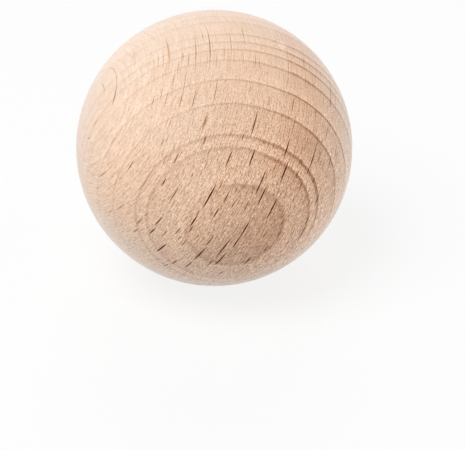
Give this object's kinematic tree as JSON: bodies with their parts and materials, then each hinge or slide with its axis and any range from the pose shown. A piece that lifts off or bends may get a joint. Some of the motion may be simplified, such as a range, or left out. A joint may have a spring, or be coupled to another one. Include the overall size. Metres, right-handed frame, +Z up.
{
  "type": "wooden ball",
  "caption": "Plain solid ball turned from pale beech, sanded smooth and left unfinished, for craft work, knobs, feet and bench jobs.",
  "frame": {"origin": "centre of the ball", "axes": "+Z up as the ball is shown. The wood's fibre, which is also the turning axis, leans 29 degrees from +Z towards +X, and the growth rings lie almost square to -Y"},
  "size_m": [0.05, 0.05, 0.05],
  "materials": {
    "beech": "bare sanded beech, satin, with growth rings and dark ray flecks"
  },
  "bodies": {
    "root": {"ball": "beech"}
  },
  "joints": []
}
